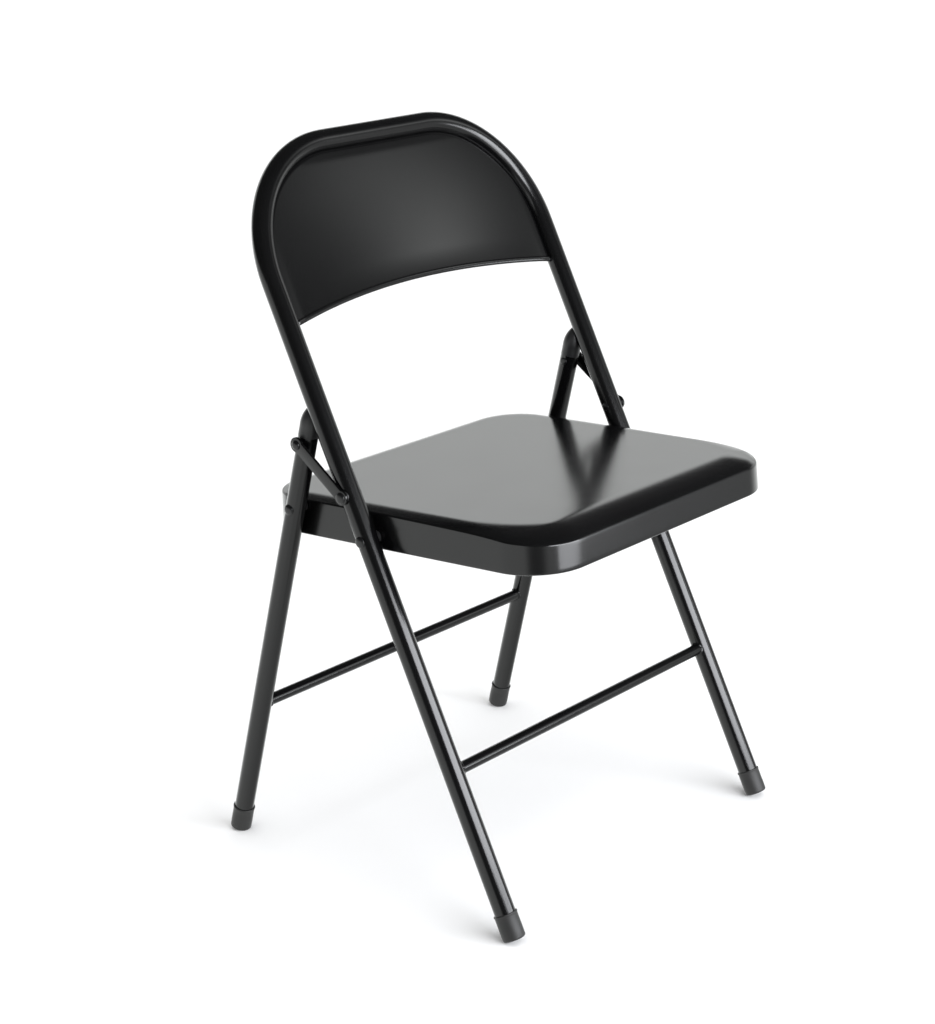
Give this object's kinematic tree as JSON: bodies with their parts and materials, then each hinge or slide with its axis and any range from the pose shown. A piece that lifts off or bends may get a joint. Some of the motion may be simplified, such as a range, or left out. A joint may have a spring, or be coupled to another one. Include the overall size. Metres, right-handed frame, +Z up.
{
  "type": "folding chair",
  "caption": "Steel folding chair with a one-tube front frame and curved back panel, a pressed seat pan, linked rear legs, side links and foot tips; folds flat.",
  "frame": {"origin": "on the floor, under the middle of the open chair's bounding box", "axes": "+X to the sitter's left, -Y the way the sitter faces, +Z up"},
  "size_m": [0.4664, 0.4255, 0.7585],
  "materials": {
    "painted_steel": "semi-gloss black paint",
    "rivet_steel": "black painted steel",
    "spacer_plastic": "black nylon",
    "cap_plastic": "satin black moulded plastic",
    "tip_rubber": "matt black rubber"
  },
  "bodies": {
    "front_frame": {"front_frame_tube": "painted_steel", "front_crossbar": "painted_steel", "back_panel": "painted_steel", "front_foot_tip_left": "tip_rubber", "front_foot_tip_right": "tip_rubber", "seat_pivot_rivets": "rivet_steel", "seat_pivot_spacers": "spacer_plastic", "link_pivot_rivets": "rivet_steel", "link_pivot_washers": "spacer_plastic"},
    "seat": {"seat_pan": "painted_steel", "seat_hinge_plate_left": "painted_steel", "seat_hinge_plate_right": "painted_steel"},
    "rear_frame": {"rear_leg_left": "painted_steel", "rear_leg_right": "painted_steel", "rear_crossbar": "painted_steel", "rear_leg_cap_left": "cap_plastic", "rear_leg_cap_right": "cap_plastic", "rear_foot_tip_left": "tip_rubber", "rear_foot_tip_right": "tip_rubber", "leg_pivot_rivets": "rivet_steel", "leg_pivot_spacers": "spacer_plastic", "link_rivet_tails": "rivet_steel"},
    "left_link": {"link_left": "painted_steel", "link_rivet_left": "rivet_steel"},
    "right_link": {"link_right": "painted_steel", "link_rivet_right": "rivet_steel"}
  },
  "joints": [
    {"name": "seat_fold", "type": "hinge", "parent": "front_frame", "child": "seat", "pos_m": [0, 0.00565, 0.3805], "axis": [-1, 0, 0], "range_deg": [0, 108.18]},
    {"name": "rear_leg_fold", "type": "hinge", "parent": "seat", "child": "rear_frame", "pos_m": [0, 0.10728, 0.3921], "axis": [1, 0, 0], "range_deg": [0, 67.34]},
    {"name": "left_link_swing", "type": "hinge", "parent": "front_frame", "child": "left_link", "pos_m": [0.228, 0.0277, 0.4234], "axis": [-1, 0, 0], "range_deg": [0, 131.02]},
    {"name": "right_link_swing", "type": "hinge", "parent": "front_frame", "child": "right_link", "pos_m": [-0.228, 0.0277, 0.4234], "axis": [-1, 0, 0], "range_deg": [0, 131.02]}
  ],
  "couplings": [
    {"joint": "rear_leg_fold", "follows": "seat_fold", "ratio": 0.6224},
    {"joint": "left_link_swing", "follows": "seat_fold", "ratio": 1.2109},
    {"joint": "right_link_swing", "follows": "seat_fold", "ratio": 1.2109}
  ]
}
